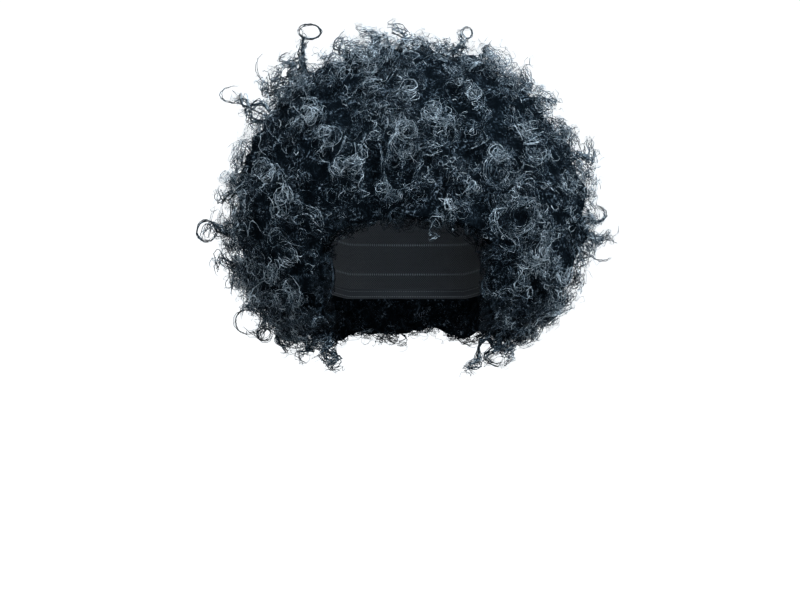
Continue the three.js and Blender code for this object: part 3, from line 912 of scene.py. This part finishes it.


# The fibre is synthetic, dyed blue-black and glossy. Each one in the mesh stands for a few finer hairs side
# by side, which its streaks show. Its colour carries painted highlights and painted shade as well as the dye.
STREAK_SCALE = (9, 300, 1)  # streaks round the fibre, and to the metre along it
STREAK_CONTRAST = 2.8
fibre, add, calc, link, shader = material_nodes("glossy_fibre")
place = add("ShaderNodeUVMap", uv_map="fibre")
streak_map = add("ShaderNodeMapping")
streak_map.inputs["Scale"].default_value = STREAK_SCALE
link(place.outputs["UV"], streak_map.inputs["Vector"])
streaks = add("ShaderNodeTexNoise", Scale=1.0, Detail=2.0, noise_dimensions="2D")
link(streak_map.outputs["Vector"], streaks.inputs["Vector"])
# Each fibre's tone holds its random tone together with painted shade and painted light
tone = add("ShaderNodeAttribute", attribute_name="tone")
from_mean = calc("SUBTRACT", streaks.outputs["Fac"], 0.5)
lightness = calc("MULTIPLY_ADD", from_mean, STREAK_CONTRAST, tone.outputs["Fac"])
# The dark stops of the ramp are the dye; the lighter ones are painted highlights
dye_and_painted_light = add_ramp(add, [
    (0, (0.0012, 0.0023, 0.0036)), (0.35, (0.004, 0.0085, 0.013)), (0.55, (0.021, 0.036, 0.050)),
    (0.75, (0.14, 0.185, 0.225)), (1, (0.74, 0.80, 0.84)),
])
link(lightness, dye_and_painted_light.inputs["Fac"])
link(dye_and_painted_light.outputs["Color"], shader.inputs["Base Color"])
relief = add("ShaderNodeBump", Strength=0.6, Distance=0.0003)
link(streaks.outputs["Fac"], relief.inputs["Height"])
link(relief.outputs["Normal"], shader.inputs["Normal"])
shader.inputs["Roughness"].default_value = 0.26
shader.inputs["Specular IOR Level"].default_value = 0.3
shader.inputs["Specular Tint"].default_value = (0.65, 0.83, 1, 1)
for name, fibres in grown.items():
    curls = strand_mesh("curls_" + name, fibres)
    curls.data.materials.append(fibre)
    if name == "hem":
        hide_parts("weft_brow", "weft_cheek", "weft_nape")
    else:
        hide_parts("weft_" + name)
    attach(curls, "root")

# The wig is held up in the air, high over a pale floor that curves up into a pale wall and ceiling all
# round, with soft studio light from all sides, strongest from the front and above.
FLOOR = -2.8
ROOM_RADIUS, ROOM_CURVE, ROOM_TOP = 5.0, 2.0, 3.6
bm = bmesh.new()
profile = [bm.verts.new((0, 0, FLOOR))]
for a in np.linspace(0, math.pi, 25):
    rise = FLOOR + ROOM_CURVE if a < math.pi / 2 else ROOM_TOP - ROOM_CURVE
    out = ROOM_RADIUS - ROOM_CURVE + ROOM_CURVE * math.sin(a)
    profile.append(bm.verts.new((out, 0, rise - ROOM_CURVE * math.cos(a))))
profile.append(bm.verts.new((0, 0, ROOM_TOP)))
for first, second in zip(profile, profile[1:]):
    bm.edges.new((first, second))
bmesh.ops.spin(
    bm, geom=[*bm.verts, *bm.edges], cent=(0, 0, 0), axis=(0, 0, 1), angle=2 * math.pi, steps=64,
    use_merge=True)
bmesh.ops.remove_doubles(bm, verts=bm.verts, dist=0.001)
bmesh.ops.recalc_face_normals(bm, faces=bm.faces)
bmesh.ops.reverse_faces(bm, faces=bm.faces)
studio = to_object("studio_floor", bm)
paint, *_, shader = material_nodes("pale_floor")
shader.inputs["Base Color"].default_value = (0.7, 0.7, 0.7, 1)
shader.inputs["Roughness"].default_value = 0.9
shader.inputs["Emission Color"].default_value = (1, 1, 1, 1)
shader.inputs["Emission Strength"].default_value = 0.8
studio.data.materials.append(paint)
studio.visible_diffuse = False
studio.visible_glossy = False
studio.visible_shadow = False


LAMP_COLOUR = (0.78, 0.905, 1)


def soft_light(name, place, size, watts):
    """A square area light at a place, turned to the middle of the hair"""
    lamp = bpy.data.lights.new(name, "AREA")
    lamp.size = size
    lamp.energy = watts
    lamp.color = LAMP_COLOUR
    made = bpy.data.objects.new(name, lamp)
    made.location = place
    made.rotation_euler = (Vector(MIDDLE) - Vector(place)).to_track_quat("-Z", "Y").to_euler()
    bpy.context.scene.collection.objects.link(made)


soft_light("key", (1.2, -1.4, 1.5), 0.6, 92)
soft_light("fill", (-1.5, -1.2, 0.9), 0.7, 38)
soft_light("overhead", (0.1, 0.1, 1.9), 0.8, 55)
soft_light("low_front", (0.2, -1.9, -0.7), 0.8, 14)
soft_light("side", (1.9, -0.3, 0.1), 0.6, 28)
soft_light("back_left", (1.4, 1.6, 1.0), 0.7, 30)
soft_light("back_right", (-1.4, 1.6, 0.8), 0.7, 26)
world = bpy.data.worlds.new("studio")
world.use_nodes = True
world.node_tree.nodes["Background"].inputs["Color"].default_value = (0.9, 0.95, 1, 1)
world.node_tree.nodes["Background"].inputs["Strength"].default_value = 0.15
bpy.context.scene.world = world
bpy.context.scene.view_settings.view_transform = "Standard"

# The camera stands straight before the face opening, level with the middle of the picture.
VIEW_MIDDLE = Vector((-0.006, 0, -0.157))
VIEW_WIDTH = 0.704
VIEW_DISTANCE = 2.0
camera = bpy.data.cameras.new("camera")
camera.sensor_width = 36
camera.lens = camera.sensor_width * VIEW_DISTANCE / VIEW_WIDTH
viewer = bpy.data.objects.new("camera", camera)
viewer.location = VIEW_MIDDLE + Vector((0, -VIEW_DISTANCE, 0))
viewer.rotation_euler = (math.pi / 2, 0, 0)
bpy.context.scene.collection.objects.link(viewer)
bpy.context.scene.camera = viewer
